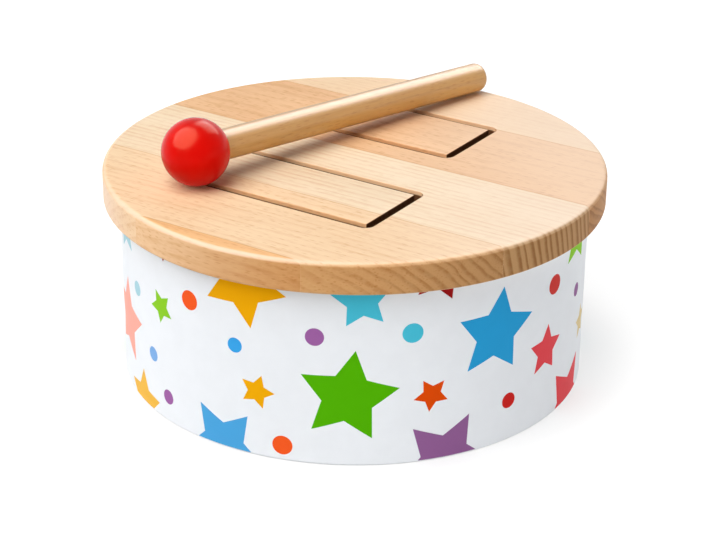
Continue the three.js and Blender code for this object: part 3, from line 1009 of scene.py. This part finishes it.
# %% Measures of the mallet
END_BAND = 0.05 * MM
HANDLE_END_ROUND = 2.6 * MM
HANDLE_BURR = 0.5 * MM
HANDLE_STATIONS = 24
BORE_GAP = 0.15 * MM
BORE_LIP = 0.5 * MM
ball_low, ball_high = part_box("mallet_head")
BALL_RADIUS = (ball_high.z - ball_low.z) / 2
ball_middle = (ball_low.z + ball_high.z) / 2
ball_centre = Vector(((ball_low.x + ball_high.x) / 2, ball_low.y + BALL_RADIUS, ball_middle))
handle_points = [vertex.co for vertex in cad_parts["mallet_handle"].data.vertices]
farthest = max((point - ball_centre).length for point in handle_points)
far_points = [point for point in handle_points if (point - ball_centre).length > farthest - END_BAND]
end_points = {tuple(round(value, 6) for value in point) for point in far_points}
end_middle = sum((Vector(point) for point in end_points), Vector()) / len(end_points)
mallet_axis = (end_middle - ball_centre).normalized()
reaches = [(point - ball_centre).dot(mallet_axis) for point in handle_points]
HANDLE_START = min(reaches)
HANDLE_REACH = max(reaches)
off_axis = [point - ball_centre - mallet_axis * reach for point, reach in zip(handle_points, reaches)]
HANDLE_RADIUS = max(offset.length for offset in off_axis)
print("ball radius, handle radius and reach, mm:", in_mm((BALL_RADIUS, HANDLE_RADIUS, HANDLE_REACH)))

# %% Mallet
bore = HANDLE_RADIUS + BORE_GAP
lip = bore + BORE_LIP
lip_turn = math.degrees(math.acos(lip / BALL_RADIUS))
mouth = math.sqrt(BALL_RADIUS ** 2 - lip ** 2) - BORE_LIP
bottom = HANDLE_START - BORE_GAP
ball_profile = [(0, bottom), (bore, bottom), (bore, mouth)]
ball_profile += arc((lip, mouth), BORE_LIP, 180, 90, 4)
ball_profile += arc((0, 0), BALL_RADIUS, lip_turn, -90, 44)[1:-1] + [(0, -BALL_RADIUS)]

radius = HANDLE_RADIUS
first = HANDLE_START + HANDLE_BURR
last = HANDLE_REACH - HANDLE_END_ROUND
dowel_profile = [(0, HANDLE_START), (radius - HANDLE_BURR, HANDLE_START), (radius, first)]
dowel_profile += [(radius, first + (last - first) * k / HANDLE_STATIONS) for k in range(1, HANDLE_STATIONS)]
dowel_profile += arc((radius - HANDLE_END_ROUND, last), HANDLE_END_ROUND, 0, 90, 7) + [(0, HANDLE_REACH)]

across = Vector((0, 0, 1)).cross(mallet_axis).normalized()
mallet_turn = Matrix((mallet_axis, across, mallet_axis.cross(across))).transposed().to_4x4()
along_x = Matrix.Rotation(math.pi / 2, 4, "Y")
ball = turned("mallet_ball", ball_profile, ball_finish, 96)
dowel = turned("mallet_dowel", dowel_profile, DOWEL_FINISH, 64)
ball.data.transform(mallet_turn @ along_x)
ball.matrix_world = Matrix.Translation(ball_centre)
dowel.data.transform(along_x)
dowel.matrix_world = Matrix.Translation(ball_centre) @ mallet_turn
for piece, replaced, slot in ((ball, "mallet_head", "red_lacquer"), (dowel, "mallet_handle", "beech_dowel")):
    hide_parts(replaced)
    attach(piece, "mallet")
    print(piece.name, "faces:", len(piece.data.polygons))

# %% [markdown]
# ## Rings
#
# Inside the shell are two plywood rings that the screws go into. They are left raw, so their faces show birch
# veneer and their edges show the plies. The plies could be modelled as layers, but a finish that tells faces
# from edges by where they look is enough, and the rings keep the shape of the construction model.

# %% Birch plywood
PLY = 1.2
DARK_PLY = (PLY * 0.45, PLY * 0.55)
VENEER = {"scale": 0.5, "detail": 4.0, "roughness": 0.6, "stretch": (0.05, 0.6, 1)}
VENEER_FADE = (0.25, 0.75)
VENEER_FACE = (0.5, 0.8)
RAW_VENEER = (0.62, 0.78, 0.08, 0.5)
material, place = new_finish("birch plywood", {})
figure = noise(place, **VENEER)
face = mixed(between(figure, *VENEER_FADE), linear(226, 198, 158), linear(200, 162, 116))
layer = calc("PINGPONG", axis(place, "Z"), PLY)
edge = mixed(between(layer, *DARK_PLY), linear(214, 180, 134), linear(150, 106, 66))
flat = between(calc("ABSOLUTE", facing(place, "Z")), *VENEER_FACE)
ply = coat(material, mixed(flat, edge, face), figure, *RAW_VENEER)
for name in ("head_ring", "base_ring"):
    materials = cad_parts[name].data.materials
    materials.clear()
    materials.append(ply)
print("plywood on the two rings")

# %% [markdown]
# ## Screws
#
# Small countersunk wood screws, zinc plated, hold the board to the upper ring and the base to the lower one.
# They are turned, a tapered cross is cut from the head, and a ridge is wound down the shank as its thread. A
# bump in the finish would be lighter, but it would vanish from the outline when a screw is seen closely.

# %% Zinc
ZINC = (0.26, 0.42, 0.01, 0.5)
ZINC_PALE = (0.60, 0.61, 0.62, 1)
ZINC_DARK = (0.46, 0.47, 0.48, 1)
material, place = new_finish("zinc plate", {"Metallic": 1.0})
cloud = noise(place, 1.1, 4.0)
colour = mixed(between(cloud, *PATCH_RANGE), ZINC_PALE, ZINC_DARK)
zinc_finish = coat(material, colour, cloud, *ZINC)
print("finish:", zinc_finish.name)

# %% Cross recess
RECESS_REACH = 1.7 * MM
RECESS_HALF = 0.42 * MM
RECESS_INNER = RECESS_HALF * 1.3
RECESS_DEPTH = 1.2 * MM
RECESS_ABOVE = 0.2 * MM
RECESS_TAPER = 0.55


def cut_away(piece, cutter):
    """Cuts one piece by another, keeps the result and throws the cutter away."""
    cut = piece.modifiers.new("cut", "BOOLEAN")
    cut.operation = "DIFFERENCE"
    cut.object = cutter
    bpy.context.view_layer.update()
    shape = bpy.data.meshes.new_from_object(piece.evaluated_get(bpy.context.evaluated_depsgraph_get()))
    piece.modifiers.clear()
    shape.shade_smooth()
    shape.set_sharp_from_angle(angle=SMOOTH_ANGLE)
    piece.data = shape
    bpy.data.objects.remove(cutter)


def cross_cutter():
    """A tapered cross, wide above the head and narrow at the bottom of the recess."""
    arm = [(RECESS_REACH, -RECESS_HALF), (RECESS_REACH, RECESS_HALF), (RECESS_INNER, RECESS_INNER)]
    outline = []
    for quarter in range(4):
        turn = Matrix.Rotation(quarter * math.pi / 2, 2)
        outline += [turn @ Vector(corner) for corner in arm]
    bm = bmesh.new()
    upper = [bm.verts.new((p.x, p.y, RECESS_ABOVE)) for p in outline]
    lower = [bm.verts.new((p.x * RECESS_TAPER, p.y * RECESS_TAPER, -RECESS_DEPTH)) for p in outline]
    bm.faces.new(upper)
    bm.faces.new(list(reversed(lower)))
    for index in range(len(outline)):
        after = (index + 1) % len(outline)
        bm.faces.new((lower[index], lower[after], upper[after], upper[index]))
    return finished_object("cross cutter", bm, zinc_finish)


print("recess depth, mm:", in_mm((RECESS_DEPTH,)))

# %% Screws
SHANK_RADIUS = 1.45 * MM
HEAD_HEIGHT = 2.0 * MM
HEAD_RIM = 0.15 * MM
HEAD_GAP = 0.05 * MM
POINT_LENGTH = 3.0 * MM
POINT_RADIUS = 0.2 * MM
SEAT_GAP = 0.01 * MM
THREAD_DEPTH = 0.24 * MM
THREAD_ROOT = 0.1 * MM
THREAD_HALF = 0.28 * MM
THREAD_PITCH = 1.3 * MM
THREAD_START = 0.6 * MM
THREAD_SHORT = 1.0 * MM
THREAD_STEPS = 24
WELD = 0.004 * MM
SCREW_TURN = 37
screw_low, screw_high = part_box("head_screw_1")
HEAD_RADIUS = (screw_high - screw_low).x / 2


def wind_thread(bm, length):
    """Winds a three-sided ridge down the shank and closes both of its ends."""
    root = SHANK_RADIUS - THREAD_ROOT
    ridge = [(root, THREAD_HALF), (SHANK_RADIUS + THREAD_DEPTH, 0), (root, -THREAD_HALF)]
    turns = (length - POINT_LENGTH - HEAD_HEIGHT - THREAD_SHORT) / THREAD_PITCH
    steps = round(turns * THREAD_STEPS)
    start = -HEAD_HEIGHT - THREAD_START
    corners = [bm.verts.new((radius, 0, start + height)) for radius, height in ridge]
    sides = [bm.edges.new((corners[a], corners[b])) for a, b in ((0, 1), (1, 2), (2, 0))]
    spun = bmesh.ops.spin(bm, geom=corners + sides, cent=(0, 0, 0), axis=(0, 0, 1), steps=steps,
                          angle=math.tau * steps / THREAD_STEPS, dvec=(0, 0, -THREAD_PITCH / THREAD_STEPS))
    bm.faces.new(corners)
    bm.faces.new([item for item in spun["geom_last"] if isinstance(item, bmesh.types.BMVert)])


def screw_mesh(length, head_radius):
    """A screw with its head's face at z = 0 and its point down."""
    profile = [(0, 0), (head_radius - HEAD_RIM, 0), (head_radius, -HEAD_RIM), (SHANK_RADIUS, -HEAD_HEIGHT)]
    profile += [(SHANK_RADIUS, -length + POINT_LENGTH), (POINT_RADIUS, -length), (0, -length)]
    piece = turned("screw", profile, zinc_finish, 40)
    cut_away(piece, cross_cutter())
    mesh = piece.data
    bm = bmesh.new()
    bm.from_mesh(mesh)
    bmesh.ops.remove_doubles(bm, verts=bm.verts, dist=WELD)
    bmesh.ops.dissolve_degenerate(bm, edges=bm.edges, dist=WELD)
    wind_thread(bm, length)
    bmesh.ops.recalc_face_normals(bm, faces=bm.faces)
    bm.to_mesh(mesh)
    bm.free()
    mesh.shade_smooth()
    mesh.set_sharp_from_angle(angle=SMOOTH_ANGLE)
    bpy.data.objects.remove(piece)
    return mesh


for family in ("head_screw", "base_screw"):
    low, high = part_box(f"{family}_1")
    mesh = screw_mesh(high.z - low.z - 2 * SEAT_GAP, HEAD_RADIUS - HEAD_GAP)
    for number in range(1, 7):
        low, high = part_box(f"{family}_{number}")
        screw = placed(f"zinc_{family}_{number}", mesh)
        spin = Matrix.Rotation(math.radians(SCREW_TURN * number), 4, "Z")
        seat = Vector(((low.x + high.x) / 2, (low.y + high.y) / 2, low.z + SEAT_GAP))
        screw.matrix_world = Matrix.Translation(seat) @ Matrix.Rotation(math.pi, 4, "X") @ spin
        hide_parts(f"{family}_{number}")
        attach(screw, "drum")
    print(family, "mesh faces:", len(mesh.polygons))

# %% [markdown]
# ## The base
#
# A plywood disc closes the bottom of the drum. It is turned like the shell, and then a funnel is cut out for
# each screw, as a countersink bit would. Booleans are right here: the cuts are few and round, and the faces
# that they open are flat.

# %% Base panel
PANEL_EASE = 0.3 * MM
COUNTERSINK_GAP = 0.3 * MM
# Heights over the face of a screw's head.
FUNNEL_FOOT = -1 * MM
FUNNEL_LIP = 0.05 * MM
FUNNEL_NECK = 2.1 * MM
FUNNEL_TOP = 9 * MM
low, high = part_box("base_panel")
edge = high.x - PANEL_EASE
profile = [(0, low.z)] + arc((edge, low.z + PANEL_EASE), PANEL_EASE, -90, 0, FOOT_STEPS)
profile += arc((edge, high.z - PANEL_EASE), PANEL_EASE, 0, 90, FOOT_STEPS) + [(0, high.z)]
panel = turned("base", profile, ply)
mouth = HEAD_RADIUS + COUNTERSINK_GAP
bore = SHANK_RADIUS + COUNTERSINK_GAP
funnel = [(0, FUNNEL_FOOT), (mouth, FUNNEL_FOOT), (mouth, FUNNEL_LIP)]
funnel += [(bore, FUNNEL_NECK), (bore, FUNNEL_TOP), (0, FUNNEL_TOP)]
for number in range(1, 7):
    low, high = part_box(f"base_screw_{number}")
    cutter = turned("countersink", funnel, ply, 48)
    cutter.location = ((low.x + high.x) / 2, (low.y + high.y) / 2, low.z)
    cut_away(panel, cutter)
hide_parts("base_panel")
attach(panel, "drum")
print("base panel faces:", len(panel.data.polygons))
